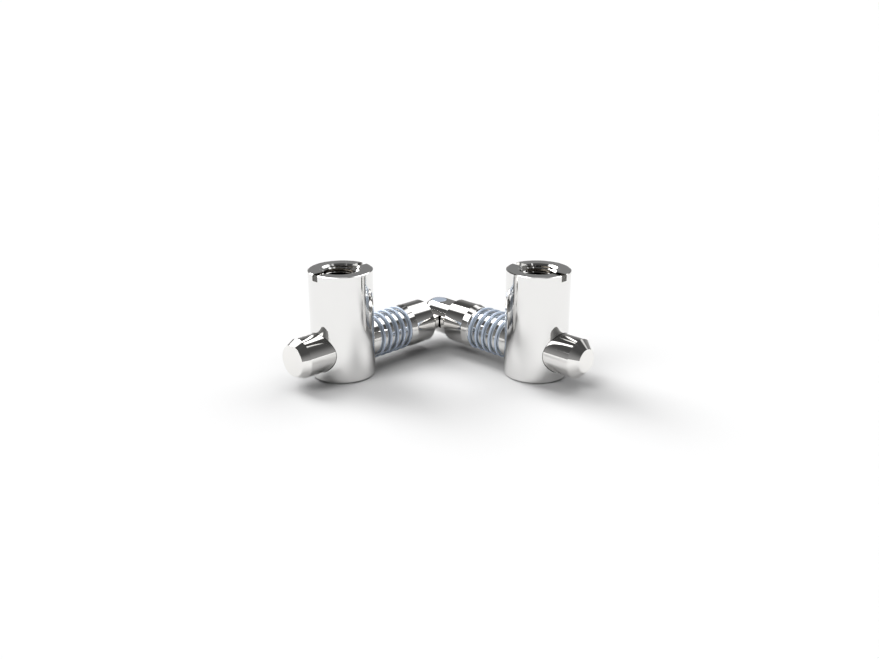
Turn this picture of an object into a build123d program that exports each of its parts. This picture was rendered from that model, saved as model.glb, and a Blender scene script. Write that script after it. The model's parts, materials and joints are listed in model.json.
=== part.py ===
from build123d import *
import os
from math import cos, radians, sin

os.makedirs("parts", exist_ok=True)

# Hinged panel connector: two turned arms pivoted together, each through a spring-loaded cross barrel.
# The barrels stand on their flat bases, the arms lie level, and the pivot pin is upright.

# Whole connector
rest_angle = 90.0          # between the two arms
hinge_to_barrel = 34.4     # pivot axis to barrel axis, along an arm
arm_height = 7.4           # arm axis above the barrels' bases

# Cross barrels
barrel_diameter = 16.0
barrel_height = 27.3
barrel_edge = 0.25
driver_slot_width = 1.75
driver_slot_depth = 1.9

# Set screws and the barrels' bores, at the mean diameter of an M10 x 1 thread
screw_diameter = 9.4
bore_clearance = 0.05
screw_below_top = 2.6
point_flat_diameter = 2.0
socket_width = 5.0
socket_depth = 5.0

# Arms
shank_diameter = 10.0
shank_overhang = 15.8      # barrel axis to the arm's end
end_chamfer_length = 2.1
left_end_diameter = 7.9
right_end_diameter = 5.9
head_diameter = 11.4
head_start = 7.2           # pivot axis to the head's inner rim
head_length = 6.3
collar_length = 1.9        # conical, from the head down to the spring's seat
collar_end_diameter = 10.55
barrel_travel = 3.0        # along the arm, towards the hinge
notch_depth = 1.6          # below the shank's crown

# Knuckle
neck_diameter = 9.5
tongue_thickness = 3.3
tongue_clearance = 0.06    # to each ear
fork_thickness = 8.4       # across the two ears' flats
slot_web = 2.1             # left between the fork's slot and its head
pivot_diameter = 4.0
pivot_edge = 0.2
pivot_stand = 0.05         # each end of the pin above its ear
ear_clearance = 0.02
pivot_clearance = 0.06     # in the tongue

# Clearances between arm and barrel
cross_hole_clearance = 0.1  # all round the shank
point_clearance = 0.08      # set screw's point above the notch

# Springs
wire_diameter = 0.65
wire_sides = 8
steps_per_turn = 20
coil_pitch = 2.3
coil_clearance = 0.08      # wire to shank
seat_clearance = 0.05      # wire to collar and barrel

# Dependent sizes
barrel_radius = barrel_diameter / 2
shank_radius = shank_diameter / 2
head_radius = head_diameter / 2
collar_end_radius = collar_end_diameter / 2
neck_radius = neck_diameter / 2
bore_radius = screw_diameter / 2 + bore_clearance
arm_end = hinge_to_barrel + shank_overhang
chamfer_start = arm_end - end_chamfer_length
head_end = head_start + head_length
collar_end = head_end + collar_length
point_height = arm_height + shank_radius - notch_depth + point_clearance
notch_length = barrel_travel + point_flat_diameter + 2 * notch_depth
screw_top = barrel_height - screw_below_top
cross_hole_radius = shank_radius + cross_hole_clearance
screw_radius = screw_diameter / 2
point_radius = point_flat_diameter / 2
cone_top = point_height + screw_radius - point_radius
wire_radius = wire_diameter / 2
coil_radius = shank_radius + coil_clearance + wire_radius
coil_start = collar_end + seat_clearance + wire_radius
coil_end = hinge_to_barrel - barrel_radius - seat_clearance - wire_radius
coil_steps = round((coil_end - coil_start) / coil_pitch * steps_per_turn)

# The pivot stands where the connector's plan is centred on the origin
half_angle = radians(rest_angle / 2)


def reach(end_diameter, along, across):
    """Furthest point of an arm's chamfered end, measured along one of the frame's axes from the pivot."""
    at_face = arm_end * along + end_diameter / 2 * across
    at_shank = chamfer_start * along + shank_radius * across
    return max(at_face, at_shank)


left_reach = reach(left_end_diameter, sin(half_angle), cos(half_angle))
right_reach = reach(right_end_diameter, sin(half_angle), cos(half_angle))
front_reach = reach(max(left_end_diameter, right_end_diameter), cos(half_angle), sin(half_angle))
hinge_x = (left_reach - right_reach) / 2
hinge_y = (front_reach - neck_radius) / 2

# Each arm's plane: origin on the pivot at the arms' height, X out along the arm, Z up
hinge_point = Vector(hinge_x, hinge_y, arm_height)
left_arm = Plane(hinge_point, x_dir=(-sin(half_angle), -cos(half_angle), 0), z_dir=(0, 0, 1))
right_arm = Plane(hinge_point, x_dir=(sin(half_angle), -cos(half_angle), 0), z_dir=(0, 0, 1))


def turned_arm(arm, end_diameter, knuckle_thickness):
    """Turned arm with a ball-ended neck, head, spring collar and shank, its knuckle milled to a thickness."""
    with BuildPart() as blank:
        with BuildSketch(arm):
            with BuildLine():
                ball = CenterArc((0, 0), neck_radius, 90, 90)
                Polyline(
                    ball @ 0,
                    (head_start, neck_radius),
                    (head_start, head_radius),
                    (head_end, head_radius),
                    (collar_end, collar_end_radius),
                    (collar_end, shank_radius),
                    (chamfer_start, shank_radius),
                    (arm_end, end_diameter / 2),
                    (arm_end, 0),
                    ball @ 1,
                )
            make_face()
        revolve(axis=Axis(arm.origin, arm.x_dir))
        # Notch milled across the shank's crown, which the set screw's point runs in
        with BuildSketch(Plane(arm.origin, x_dir=arm.x_dir, z_dir=-arm.y_dir)):
            with Locations((hinge_to_barrel - barrel_travel / 2, shank_radius)):
                Trapezoid(notch_length, notch_depth, 135, align=(Align.CENTER, Align.MAX))
        extrude(amount=shank_radius, both=True, mode=Mode.SUBTRACT)
        # Flats milled over and under the neck, up to the head's rim
        for side in (1, -1):
            with BuildSketch(arm.offset(side * knuckle_thickness / 2)):
                with Locations((head_start, 0)):
                    Rectangle(head_start + neck_diameter, head_diameter, align=(Align.MAX, Align.CENTER))
            extrude(amount=side * head_radius, mode=Mode.SUBTRACT)
    return blank.part


# Left arm: a flat tongue, bored for the pivot pin
with BuildPart() as tongue_rod:
    add(turned_arm(left_arm, left_end_diameter, tongue_thickness))
    with Locations(left_arm):
        Hole(pivot_diameter / 2 + pivot_clearance)
tongue_rod.part.label = "tongue_rod"
export_step(tongue_rod.part, "parts/tongue_rod.step")

# Right arm: slotted into two ears, bored for the pivot pin
with BuildPart() as fork_rod:
    add(turned_arm(right_arm, right_end_diameter, fork_thickness))
    with BuildSketch(right_arm):
        with Locations((head_start - slot_web, 0)):
            Rectangle(head_start + neck_diameter, head_diameter, align=(Align.MAX, Align.CENTER))
    extrude(amount=tongue_thickness / 2 + tongue_clearance, both=True, mode=Mode.SUBTRACT)
    with Locations(right_arm):
        Hole(pivot_diameter / 2 + ear_clearance)
fork_rod.part.label = "fork_rod"
export_step(fork_rod.part, "parts/fork_rod.step")

# Pivot pin, its ends almost level with the ears
with BuildPart() as pivot_pin:
    with BuildSketch(left_arm):
        Circle(pivot_diameter / 2)
    extrude(amount=fork_thickness / 2 + pivot_stand, both=True)
    chamfer(pivot_pin.edges().filter_by(GeomType.CIRCLE), length=pivot_edge)
pivot_pin.part.label = "pivot_pin"
export_step(pivot_pin.part, "parts/pivot_pin.step")


for side, arm, inner_direction in (
    ("left", left_arm, left_arm.y_dir),
    ("right", right_arm, -right_arm.y_dir),
):
    crossing = arm.from_local_coords((hinge_to_barrel, 0, 0))
    base = Plane((crossing.X, crossing.Y, 0), x_dir=arm.x_dir, z_dir=(0, 0, 1))

    # Cross barrel: screw bore from the top, driver slot, and a round hole for the arm
    with BuildPart() as barrel:
        with BuildSketch(base):
            Circle(barrel_radius)
        extrude(amount=barrel_height)
        with BuildSketch(base.offset(barrel_height)):
            Circle(bore_radius)
        extrude(amount=arm_height - barrel_height, mode=Mode.SUBTRACT)
        circles = barrel.edges().filter_by(GeomType.CIRCLE).group_by(Axis.Z)
        chamfer(circles[0] + circles[-1], length=barrel_edge)
        with BuildSketch(base.offset(barrel_height)):
            Rectangle(2 * barrel_diameter, driver_slot_width)
        extrude(amount=-driver_slot_depth, mode=Mode.SUBTRACT)
        with BuildSketch(Plane(crossing, z_dir=arm.x_dir)):
            Circle(cross_hole_radius)
        extrude(amount=barrel_radius, both=True, mode=Mode.SUBTRACT)
    barrel.part.label = f"{side}_barrel"
    export_step(barrel.part, f"parts/{side}_barrel.step")

    # Set screw over the arm's notch: cone point below, hexagon socket above
    with BuildPart() as screw:
        with BuildSketch(Plane((crossing.X, crossing.Y, 0), x_dir=arm.x_dir, z_dir=-arm.y_dir)):
            with BuildLine():
                Polyline(
                    (0, point_height),
                    (point_radius, point_height),
                    (screw_radius, cone_top),
                    (screw_radius, screw_top),
                    (0, screw_top),
                    close=True,
                )
            make_face()
        revolve(axis=Axis(base.origin, base.z_dir))
        with BuildSketch(base.offset(screw_top)):
            RegularPolygon(socket_width / 2, 6, major_radius=False)
        extrude(amount=-socket_depth, mode=Mode.SUBTRACT)
    screw.part.label = f"{side}_set_screw"
    export_step(screw.part, f"parts/{side}_set_screw.step")

    # Left-hand compression spring from collar to barrel, its wire starting on the inner side of the V
    # The wire is lofted through short straight steps along the coil, to keep its faces few
    coil_plane = Plane(arm.from_local_coords((coil_start, 0, 0)), x_dir=inner_direction, z_dir=arm.x_dir)
    coil = coil_plane * Helix(coil_pitch, coil_end - coil_start, coil_radius, lefthand=True)
    with BuildPart() as spring:
        for step in range(coil_steps + 1):
            along = step / coil_steps
            with BuildSketch(Plane(coil @ along, x_dir=arm.x_dir, z_dir=coil % along)):
                RegularPolygon(wire_radius, wire_sides)
        loft(ruled=True)
    spring.part.label = f"{side}_spring"
    export_step(spring.part, f"parts/{side}_spring.step")
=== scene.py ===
import json
from math import cos, pi, radians, sin

import bmesh
import bpy
from mathutils import Matrix, Vector


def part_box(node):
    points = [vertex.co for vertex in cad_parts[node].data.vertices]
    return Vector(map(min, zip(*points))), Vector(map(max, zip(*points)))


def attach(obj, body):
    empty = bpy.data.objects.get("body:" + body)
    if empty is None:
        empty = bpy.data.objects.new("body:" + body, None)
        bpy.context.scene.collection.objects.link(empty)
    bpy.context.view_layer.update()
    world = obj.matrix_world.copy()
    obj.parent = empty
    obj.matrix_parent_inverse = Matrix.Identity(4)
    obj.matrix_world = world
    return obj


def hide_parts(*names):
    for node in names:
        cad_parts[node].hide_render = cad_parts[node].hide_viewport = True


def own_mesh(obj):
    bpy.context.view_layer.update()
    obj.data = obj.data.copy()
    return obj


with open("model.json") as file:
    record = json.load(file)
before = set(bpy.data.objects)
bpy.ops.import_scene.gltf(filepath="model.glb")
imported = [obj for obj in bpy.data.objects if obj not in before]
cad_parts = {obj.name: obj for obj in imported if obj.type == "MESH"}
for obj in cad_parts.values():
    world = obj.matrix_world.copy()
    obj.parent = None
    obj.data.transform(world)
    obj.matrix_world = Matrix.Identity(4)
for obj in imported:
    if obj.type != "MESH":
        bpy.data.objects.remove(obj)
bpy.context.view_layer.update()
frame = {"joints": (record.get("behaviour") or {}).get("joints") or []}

# Hinged panel connector as finished: two polished turned arms on one pivot pin, each through a
# spring-loaded cross barrel that holds a set screw in its threaded bore.
# Pieces are built in millimetres about their own axis and go to the frame's metres at the end.
MM = 0.001

# Arms, as in the solids
head_start = 7.2
head_length = 6.3
head_radius = 5.7
collar_length = 1.7
collar_end_radius = 5.275
shank_radius = 5.0
neck_radius = 4.75
arm_end = 50.2
end_chamfer_length = 2.1
end_radius = {"left": 3.95, "right": 2.95}
end_fillet = 0.05
notch_middle = 32.9
notch_length = 8.2
notch_depth = 1.6
rim_fillet = 0.12
arm_body = {"left": "tongue_arm", "right": "fork_arm"}

# Knuckle
tongue_thickness = 3.3
fork_slot = 3.42
fork_thickness = 8.4
slot_web = 2.1
pin_radius = 2.0
pin_reach = 4.25
pin_edge = 0.22
hole_clearance = 0.03

# Barrels
barrel_radius = 8.0
barrel_height = 27.3
barrel_edge_width = 0.28
barrel_edge_drop = 0.135
foot_edge = 0.35
driver_slot_width = 1.9
driver_slot_depth = 1.58
cross_hole_radius = 5.1
hinge_to_barrel = 34.4
arm_height = 7.4

# Thread of the bores and set screws
thread_pitch = 1.0
thread_major = 4.9
thread_minor = 4.3
thread_play = 0.04
thread_phase = {"left": 0.475, "right": 0.725}

# One turn of the thread from its top down, in shares of the pitch, with flanks between the flats
root_flat = (0.0, -0.12)
crest_flat = (-0.62, -0.7)
spare_turns = 2

# Countersunk mouth over the bore's thread
mouth_radius = 5.1
mouth_depth = 0.42
mouth_end_radius = 4.6
mouth_end_slack = 0.02

# Set screws
screw_top = 24.7
screw_top_edge = 0.3
screw_point = 10.88
screw_point_radius = 1.0
socket_width = 5.0
socket_depth = 5.0

# Springs
wire_radius = 0.3
coil_radius = 5.42
coil_start = 15.58
coil_end = 26.0
coil_pitch = 2.3
closed_turn = {"left": 0.37, "right": 0.2}

# Meshes: steps round an axis or an arc, and how far a cutter reaches past what it cuts
round_segments = 192
thread_segments = 144
pin_segments = 96
hole_segments = 64
ball_steps = 32
fillet_steps = 10
wire_sides = 14
coil_steps = 48
cutter_margin = 1
merge_distance = 1e-5

# Shading: edges sharper than these angles stay crisp, and large faces rule the normals
crisp_angle = 10
wire_crisp_angle = 60
normal_weight = 60


def link(name, mesh):
    """An object for the mesh, in the scene."""
    piece = bpy.data.objects.new(name, mesh)
    bpy.context.scene.collection.objects.link(piece)
    return piece


def mesh_of(name, points, faces):
    """A mesh of those points and faces, with no doubled points and its normals outward."""
    mesh = bpy.data.meshes.new(name)
    mesh.from_pydata(points, [], faces)
    made = bmesh.new()
    made.from_mesh(mesh)
    bmesh.ops.remove_doubles(made, verts=made.verts, dist=merge_distance)
    bmesh.ops.dissolve_degenerate(made, dist=merge_distance, edges=made.edges)
    bmesh.ops.recalc_face_normals(made, faces=made.faces)
    made.to_mesh(mesh)
    made.free()
    return mesh


def turned(name, columns):
    """Closed surface about X: columns are its (along, radius) profiles at equal angles."""
    count, rows = len(columns), len(columns[0])
    points = []
    for k, column in enumerate(columns):
        angle = 2 * pi * k / count
        points += [(along, radius * cos(angle), radius * sin(angle)) for along, radius in column]
    faces = []
    for k in range(count):
        here, there = k * rows, (k + 1) % count * rows
        faces += [(here + j, here + j + 1, there + j + 1, there + j) for j in range(rows - 1)]
    for j in (0, rows - 1):
        if columns[0][j][1] > 0:
            faces.append([k * rows + j for k in range(count)])
    return mesh_of(name, points, faces)


def arc(radius, start, end, steps):
    """(along, radius) points of an arc about the origin, angles in degrees from along."""
    angles = [radians(start + (end - start) * k / steps) for k in range(steps + 1)]
    return [(radius * cos(a), radius * sin(a)) for a in angles]


def rounded(corners, fillets):
    """The (along, radius) polyline with its inner corners rounded over their fillet's length."""
    points = [corners[0]]
    for before, here, after, fillet in zip(corners, corners[1:], corners[2:], fillets):
        if fillet == 0:
            points.append(here)
            continue
        corner = Vector(here)
        a = corner + (Vector(before) - corner).normalized() * fillet
        b = corner + (Vector(after) - corner).normalized() * fillet
        for k in range(fillet_steps + 1):
            share = k / fillet_steps
            middle = corner * (2 * share * (1 - share))
            points.append(tuple(a * (1 - share) ** 2 + middle + b * share**2))
    points.append(corners[-1])
    return points


def prism(name, outline, low, high):
    """Closed prism on an outline in the XY plane, from low to high along Z."""
    count = len(outline)
    points = [(x, y, low) for x, y in outline] + [(x, y, high) for x, y in outline]
    faces = [list(range(count)), list(range(count, 2 * count))]
    faces += [(k, (k + 1) % count, count + (k + 1) % count, count + k) for k in range(count)]
    return mesh_of(name, points, faces)


def block(name, low, high):
    """Box between two corners."""
    outline = [(low[0], low[1]), (high[0], low[1]), (high[0], high[1]), (low[0], high[1])]
    return prism(name, outline, low[2], high[2])


def circle(radius, count):
    """Points of a circle about the origin."""
    return [
        (radius * cos(2 * pi * k / count), radius * sin(2 * pi * k / count)) for k in range(count)
    ]


def applied(piece):
    """The piece's mesh with its modifiers applied, and the modifiers gone."""
    graph = bpy.context.evaluated_depsgraph_get()
    mesh = bpy.data.meshes.new_from_object(piece.evaluated_get(graph))
    piece.modifiers.clear()
    piece.data = mesh
    return mesh


def finished(name, mesh, cutters, place, body, material, node, crisp=crisp_angle):
    """The mesh less its cutters, put in its place on its body, instead of a CAD node.

    Faces are shaded smooth up to edges of the crisp angle, in degrees.
    """
    piece = link(name, mesh)
    tools = []
    for cutter in cutters:
        tool = link("cutter", cutter)
        tools.append(tool)
        cut = piece.modifiers.new("cut", "BOOLEAN")
        cut.operation = "DIFFERENCE"
        cut.solver = "EXACT"
        cut.object = tool
    shape = applied(piece)
    for tool in tools:
        bpy.data.objects.remove(tool)
    shape.polygons.foreach_set("use_smooth", [True] * len(shape.polygons))
    shape.set_sharp_from_angle(angle=radians(crisp))
    weigh = piece.modifiers.new("weigh", "WEIGHTED_NORMAL")
    weigh.keep_sharp = True
    weigh.weight = normal_weight
    shaded = applied(piece)
    shaded.transform(place @ Matrix.Scale(MM, 4))
    shaded.materials.clear()
    shaded.materials.append(material)
    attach(piece, body)
    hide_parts(node)
    return piece


# Places
pivot = Vector(next(j for j in frame["joints"] if j["name"] == "knuckle_hinge")["pos_m"])


def arm_place(side):
    """Matrix of an arm: origin on the pivot at the arm's height, X out along the arm, Z up."""
    low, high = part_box(f"{side}_barrel")
    out = (Vector(low) + Vector(high)) / 2 - pivot
    out.z = 0
    out.normalize()
    across = Vector((0, 0, 1)).cross(out)
    axes = Matrix((out, across, Vector((0, 0, 1)))).transposed().to_4x4()
    return Matrix.Translation(pivot) @ axes


def barrel_place(side):
    """Matrix of a barrel: origin on its axis at its base, X along the arm, Z up."""
    place = arm_place(side)
    return place @ Matrix.Translation((hinge_to_barrel * MM, 0, -arm_height * MM))


# Stands a piece that is turned about X up along Z
UPRIGHT = Matrix.Rotation(radians(-90), 4, "Y")


# Materials
def nodes_of(name):
    """A new node material, its tree and its principled shader."""
    material = bpy.data.materials.new(name)
    material.use_nodes = True
    tree = material.node_tree
    return material, tree, tree.nodes["Principled BSDF"]


def noise(tree, scale, detail):
    """Noise over the object's own coordinates, in metres."""
    place = tree.nodes.new("ShaderNodeTexCoord")
    texture = tree.nodes.new("ShaderNodeTexNoise")
    texture.inputs["Scale"].default_value = scale
    texture.inputs["Detail"].default_value = detail
    tree.links.new(place.outputs["Object"], texture.inputs["Vector"])
    return texture.outputs["Fac"]


def mapped(tree, value, low, high):
    """A value from 0 to 1 mapped to low to high."""
    scaled = tree.nodes.new("ShaderNodeMapRange")
    scaled.inputs["To Min"].default_value = low
    scaled.inputs["To Max"].default_value = high
    tree.links.new(value, scaled.inputs["Value"])
    return scaled.outputs["Result"]


def mixed(tree, value, first, second):
    """A colour between two by a value from 0 to 1."""
    mix = tree.nodes.new("ShaderNodeMix")
    mix.data_type = "RGBA"
    mix.inputs["A"].default_value = (*first, 1)
    mix.inputs["B"].default_value = (*second, 1)
    tree.links.new(value, mix.inputs["Factor"])
    return mix.outputs["Result"]


# Scales of a metal's slow drift in colour and of its polish, and the grain's height in metres
drift_scale = 120.0
polish_scale = 900.0
grain_height = 0.00002


def metal(name, colours, roughness, grain_scale, grain_strength):
    """Plated metal: two near colours in a slow drift, uneven polish and a fine grain."""
    material, tree, shader = nodes_of(name)
    shader.inputs["Metallic"].default_value = 1.0
    drift = noise(tree, drift_scale, detail=3.0)
    tree.links.new(mixed(tree, drift, *colours), shader.inputs["Base Color"])
    polish = noise(tree, polish_scale, detail=4.0)
    tree.links.new(mapped(tree, polish, *roughness), shader.inputs["Roughness"])
    grain = noise(tree, grain_scale, detail=2.0)
    lift = tree.nodes.new("ShaderNodeBump")
    lift.inputs["Strength"].default_value = grain_strength
    lift.inputs["Distance"].default_value = grain_height
    tree.links.new(grain, lift.inputs["Height"])
    tree.links.new(lift.outputs["Normal"], shader.inputs["Normal"])
    return material


barrel_metal = metal(
    "barrel_nickel",
    colours=((0.848, 0.843, 0.832), (0.828, 0.823, 0.812)),
    roughness=(0.02, 0.06),
    grain_scale=3000.0,
    grain_strength=0.02,
)
arm_metal = metal(
    "arm_nickel",
    colours=((0.88, 0.87, 0.85), (0.86, 0.85, 0.83)),
    roughness=(0.02, 0.06),
    grain_scale=3000.0,
    grain_strength=0.02,
)
pin_metal = metal(
    "pin_zinc",
    colours=((0.70, 0.78, 0.90), (0.65, 0.73, 0.86)),
    roughness=(0.4, 0.5),
    grain_scale=5000.0,
    grain_strength=0.05,
)
spring_metal = metal(
    "spring_zinc",
    colours=((0.66, 0.74, 0.86), (0.62, 0.70, 0.82)),
    roughness=(0.5, 0.6),
    grain_scale=5000.0,
    grain_strength=0.05,
)
screw_metal = metal(
    "screw_steel",
    colours=((0.27, 0.24, 0.20), (0.15, 0.13, 0.11)),
    roughness=(0.2, 0.45),
    grain_scale=2500.0,
    grain_strength=0.2,
)


# Arms
def arm_profile(side):
    """Half profile of an arm, from the ball's tip to the end face."""
    head_end = head_start + head_length
    collar_end = head_end + collar_length
    ball = arc(neck_radius, 180, 90, ball_steps)
    corners = [
        ball[-1],
        (head_start, neck_radius),
        (head_start, head_radius),
        (head_end, head_radius),
        (collar_end, collar_end_radius),
        (collar_end, shank_radius),
        (arm_end - end_chamfer_length, shank_radius),
        (arm_end, end_radius[side]),
        (arm_end, 0),
    ]
    fillets = [0, rim_fillet, 0, rim_fillet, 0, 0, end_fillet]
    return ball[:-1] + rounded(corners, fillets)


def rod(side):
    """Turned blank of an arm."""
    return turned(f"{side}_blank", [arm_profile(side)] * round_segments)


def notch():
    """Cutter of the notch across an arm's crown."""
    bottom = shank_radius - notch_depth
    above = shank_radius + cutter_margin
    low, high = notch_middle - notch_length / 2, notch_middle + notch_length / 2
    outline = [
        (low, shank_radius),
        (low + notch_depth, bottom),
        (high - notch_depth, bottom),
        (high, shank_radius),
        (high + cutter_margin, above),
        (low - cutter_margin, above),
    ]
    mesh = prism("notch", outline, -above, above)
    mesh.transform(Matrix.Rotation(radians(90), 4, "X"))
    return mesh


def pin_hole(clearance):
    """Cutter of the pivot hole."""
    end = neck_radius + cutter_margin
    return prism("pin_hole", circle(pin_radius + clearance, hole_segments), -end, end)


knuckle_reach = neck_radius + 2 * cutter_margin


def knuckle_block(name, far_end, bottom, top):
    """Cutter over the whole knuckle, out to far_end along the arm, between two heights."""
    low_corner = (-knuckle_reach, -knuckle_reach, bottom)
    return block(name, low_corner, (far_end, knuckle_reach, top))


def flats(thickness):
    """Cutters that leave the knuckle that thick between two flats."""
    return [
        knuckle_block("flat", head_start, thickness / 2, knuckle_reach),
        knuckle_block("flat", head_start, -knuckle_reach, -thickness / 2),
    ]


fork_cut = knuckle_block("slot", head_start - slot_web, -fork_slot / 2, fork_slot / 2)
finished(
    "tongue_arm_shell",
    rod("left"),
    [*flats(tongue_thickness), pin_hole(2 * hole_clearance), notch()],
    arm_place("left"),
    arm_body["left"],
    arm_metal,
    "tongue_rod",
)
finished(
    "fork_arm_shell",
    rod("right"),
    [*flats(fork_thickness), fork_cut, pin_hole(hole_clearance), notch()],
    arm_place("right"),
    arm_body["right"],
    arm_metal,
    "fork_rod",
)

# Pivot pin
pin_corners = [
    (-pin_reach, 0),
    (-pin_reach, pin_radius),
    (pin_reach, pin_radius),
    (pin_reach, 0),
]
pin_mesh = turned("pin", [rounded(pin_corners, [pin_edge, pin_edge])] * pin_segments)
pin_mesh.transform(UPRIGHT)
finished(
    "pivot_pin_shell",
    pin_mesh,
    [],
    arm_place("right"),
    arm_body["right"],
    pin_metal,
    "pivot_pin",
)


# Thread
def thread_rows(low, high, crest, root, phase):
    """(height, radius) rows of a thread's profile, from above high to below low.

    The phase, in turns, lifts the whole thread.
    """
    levels = [(share, root) for share in root_flat] + [(share, crest) for share in crest_flat]
    rows = []
    turn = int(high / thread_pitch) + spare_turns
    while turn * thread_pitch > low - thread_pitch:
        top = (turn + phase) * thread_pitch
        rows += [(top + share * thread_pitch, radius) for share, radius in levels]
        turn -= 1
    return rows


def threaded(above, below, low, high, crest, root, phase, limit):
    """Profiles round the axis: the points above, a thread that climbs a pitch a turn, and below.

    The thread is held between low and high, and limit gives a row's radius from its height.
    """
    rows = thread_rows(low, high, crest, root, phase)
    columns = []
    for k in range(thread_segments):
        shift = thread_pitch * k / thread_segments
        middle = []
        for height, radius in rows:
            z = min(max(height + shift, low), high)
            middle.append((z, limit(z, radius)))
        columns.append(above + middle + below)
    return columns


def barrel_mesh(side):
    """Barrel blank about X: outer wall, mouth, and a threaded bore down to the arm's axis."""
    thread_top = barrel_height - mouth_depth
    above = [
        (0, 0),
        (0, barrel_radius - foot_edge),
        (foot_edge, barrel_radius),
        (barrel_height - barrel_edge_drop, barrel_radius),
        (barrel_height, barrel_radius - barrel_edge_width),
        (barrel_height, mouth_radius),
    ]

    def limit(z, radius):
        """The thread's radius, and the mouth's at its top."""
        return mouth_end_radius if z > thread_top - mouth_end_slack else radius

    columns = threaded(
        above,
        [(arm_height, 0)],
        arm_height,
        thread_top,
        crest=thread_minor,
        root=thread_major,
        phase=thread_phase[side],
        limit=limit,
    )
    return turned(f"{side}_barrel_blank", columns)


def cross_hole():
    """Cutter of the arm's hole, along the arm."""
    end = barrel_radius + cutter_margin
    mesh = prism("cross_hole", circle(cross_hole_radius, round_segments), -end, end)
    mesh.transform(Matrix.Translation((0, 0, arm_height)) @ UPRIGHT)
    return mesh


def driver_slot():
    """Cutter of the driver slot across the top, along the arm."""
    end = barrel_radius + cutter_margin
    half = driver_slot_width / 2
    low_corner = (-end, -half, barrel_height - driver_slot_depth)
    return block("driver_slot", low_corner, (end, half, barrel_height + cutter_margin))


for side in ("left", "right"):
    blank = barrel_mesh(side)
    blank.transform(UPRIGHT)
    finished(
        f"{side}_barrel_shell",
        blank,
        [cross_hole(), driver_slot()],
        barrel_place(side),
        f"{side}_nut",
        barrel_metal,
        f"{side}_barrel",
    )


# Set screws
def screw_mesh(side):
    """Set screw blank about X: cone point, thread and chamfered top."""
    major = thread_major - thread_play
    minor = thread_minor - thread_play

    def limit(z, radius):
        """The thread's radius inside the point's cone and the top's chamfer."""
        cone = screw_point_radius + z - screw_point
        return min(radius, cone, minor + screw_top_edge + screw_top - z)

    columns = threaded(
        [(screw_top, 0)],
        [(screw_point, 0)],
        screw_point,
        screw_top,
        crest=minor,
        root=major,
        phase=thread_phase[side],
        limit=limit,
    )
    return turned(f"{side}_screw_blank", columns)


for side in ("left", "right"):
    blank = screw_mesh(side)
    blank.transform(UPRIGHT)
    hexagon = circle(socket_width / 2 / cos(pi / 6), 6)
    socket = prism("socket", hexagon, screw_top - socket_depth, screw_top + cutter_margin)
    finished(
        f"{side}_set_screw_shell",
        blank,
        [socket],
        barrel_place(side),
        f"{side}_screw",
        screw_metal,
        f"{side}_set_screw",
    )


# Springs
def spring_mesh(side):
    """Round wire wound left-handed about X: part of a turn closed on the collar, then even."""
    start = pi if side == "left" else 0
    turns = (coil_end - coil_start) / coil_pitch + closed_turn[side]
    count = round(turns * coil_steps)
    path = []
    for k in range(count + 1):
        turn = k / coil_steps
        along = coil_start + coil_pitch * max(turn - closed_turn[side], 0)
        angle = start - 2 * pi * turn
        path.append(Vector((along, coil_radius * cos(angle), coil_radius * sin(angle))))
    points = []
    for k, point in enumerate(path):
        ahead = (path[min(k + 1, count)] - path[max(k - 1, 0)]).normalized()
        out = Vector((0, point.y, point.z)).normalized()
        side_way = ahead.cross(out).normalized()
        out = side_way.cross(ahead).normalized()
        for j in range(wire_sides):
            a = 2 * pi * j / wire_sides
            points.append(tuple(point + wire_radius * (cos(a) * out + sin(a) * side_way)))
    faces = []
    for k in range(count):
        here, there = k * wire_sides, (k + 1) * wire_sides
        for j in range(wire_sides):
            after = (j + 1) % wire_sides
            faces.append((here + j, here + after, there + after, there + j))
    faces.append(list(range(wire_sides)))
    faces.append([count * wire_sides + j for j in range(wire_sides)])
    return mesh_of(f"{side}_coil", points, faces)


for side in ("left", "right"):
    place = arm_place(side)
    spring = finished(
        f"{side}_spring_wire",
        spring_mesh(side),
        [],
        place,
        arm_body[side],
        spring_metal,
        f"{side}_spring",
        crisp=wire_crisp_angle,
    )
    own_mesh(spring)

# Floor, matt and almost white, in metres
floor_brightness = 0.92
floor_radius = 20.0
floor_segments = 96
floor_material, floor_tree, floor_shader = nodes_of("floor_white")
floor_shader.inputs["Base Color"].default_value = (*[floor_brightness] * 3, 1)
floor_shader.inputs["Roughness"].default_value = 1.0
floor_shader.inputs["Specular IOR Level"].default_value = 0.0
floor_rim = [(x, y, 0.0) for x, y in circle(floor_radius, floor_segments)]
floor = link("floor", mesh_of("floor", floor_rim, [list(range(floor_segments))]))
floor.data.materials.append(floor_material)

# World: a dim sky that is brighter near the horizon, with softboxes that were placed by the
# photograph's reflections and shadows
horizon_light, sky_light = 0.31, 0.07
fade_low, fade_high = 1, 41

# Azimuth from and to, elevation from and to, strength, and half the width of the soft edge, all
# angles in degrees; azimuth 0 is +Y and 90 is +X
softboxes = (
    (-56, -29, 22.5, 59.5, 6.9, 2.7),
    (-68.5, -29.5, 29.5, 67, 1.7, 3.6),
    (-32, -13.5, 51, 64, 4.6, 7),
    (14, 66, 32.5, 56.5, 3.2, 9),
    (92, 126, 50, 71, 1.4, 2),
    (-154, -107, 36.5, 68.5, 2.5, 9),
    (-128, -96, 27, 71, 1.3, 1),
    (-64, 82, 66.5, 84, 1.2, 5.7),
)

world = bpy.data.worlds.new("studio")
bpy.context.scene.world = world
world.use_nodes = True
sky = world.node_tree
background = sky.nodes["Background"]


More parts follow.
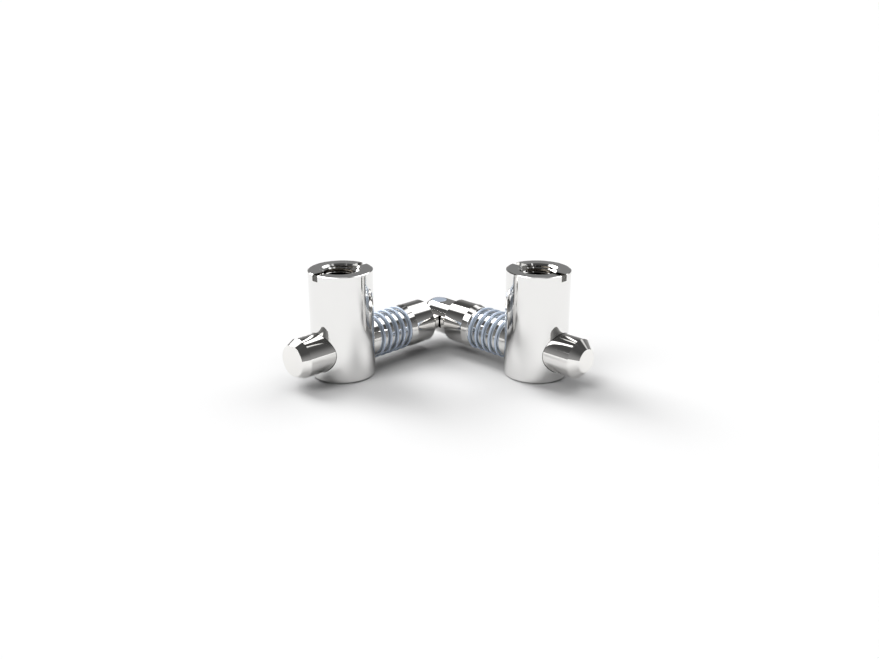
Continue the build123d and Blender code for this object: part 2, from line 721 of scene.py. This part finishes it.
def value_node(operation, first, second=None):
    """A math node on sockets or numbers, as its output."""
    node = sky.nodes.new("ShaderNodeMath")
    node.operation = operation
    for socket, value in zip(node.inputs, (first, second)):
        if isinstance(value, (int, float)):
            socket.default_value = value
        elif value is not None:
            sky.links.new(value, socket)
    return node.outputs[0]


def ramp(value, low, high, to_low, to_high):
    """Smooth step from to_low at low to to_high at high."""
    node = sky.nodes.new("ShaderNodeMapRange")
    node.interpolation_type = "SMOOTHSTEP"
    node.inputs["From Min"].default_value = low
    node.inputs["From Max"].default_value = high
    node.inputs["To Min"].default_value = to_low
    node.inputs["To Max"].default_value = to_high
    sky.links.new(value, node.inputs["Value"])
    return node.outputs["Result"]


direction = sky.nodes.new("ShaderNodeTexCoord").outputs["Generated"]
split = sky.nodes.new("ShaderNodeSeparateXYZ")
sky.links.new(direction, split.inputs[0])
elevation = value_node("MULTIPLY", value_node("ARCSINE", split.outputs["Z"]), 180 / pi)
bearing = value_node("ARCTAN2", split.outputs["X"], split.outputs["Y"])
azimuth = value_node("MULTIPLY", bearing, 180 / pi)


def softbox(az_low, az_high, el_low, el_high, strength, edge):
    """A bright panel between two azimuths and two elevations, with soft edges."""
    mask = ramp(azimuth, az_low - edge, az_low + edge, 0, 1)
    mask = value_node("MULTIPLY", mask, ramp(azimuth, az_high - edge, az_high + edge, 1, 0))
    mask = value_node("MULTIPLY", mask, ramp(elevation, el_low - edge, el_low + edge, 0, 1))
    mask = value_node("MULTIPLY", mask, ramp(elevation, el_high - edge, el_high + edge, 1, 0))
    return value_node("MULTIPLY", mask, strength)


light = ramp(elevation, fade_low, fade_high, horizon_light, sky_light)
for box in softboxes:
    light = value_node("ADD", light, softbox(*box))

# The polished pieces throw no light back on the floor, as in the photograph's shadows
light_path = sky.nodes.new("ShaderNodeLightPath")
before_floor = value_node("LESS_THAN", light_path.outputs["Diffuse Depth"], 0.5)
one_bounce = value_node("LESS_THAN", light_path.outputs["Diffuse Depth"], 1.5)
off_floor = value_node("MULTIPLY", one_bounce, light_path.outputs["Is Diffuse Ray"])
light = value_node("MULTIPLY", light, value_node("MAXIMUM", before_floor, off_floor))
# Straight behind the connector the backdrop is as white as the floor
light = value_node("MAXIMUM", light, light_path.outputs["Is Camera Ray"])
background.inputs["Color"].default_value = (1, 1, 1, 1)
sky.links.new(light, background.inputs["Strength"])

# Camera, placed by fitting the photograph's ellipses and edges: millimetres, metres and degrees
sensor_width, lens = 36, 39.742
camera_y, camera_z = -0.23669, 0.09304
camera_tilt = 70.414
clip_start, clip_end = 0.01, 100
camera = bpy.data.objects.new("camera", bpy.data.cameras.new("camera"))
bpy.context.scene.collection.objects.link(camera)
camera.data.sensor_width = sensor_width
camera.data.lens = lens
camera.data.clip_start = clip_start
camera.data.clip_end = clip_end
camera.location = (pivot.x, camera_y, camera_z)
camera.rotation_euler = (radians(camera_tilt), 0, 0)
bpy.context.scene.camera = camera
bpy.context.scene.view_settings.view_transform = "Standard"
bpy.context.scene.view_settings.look = "None"
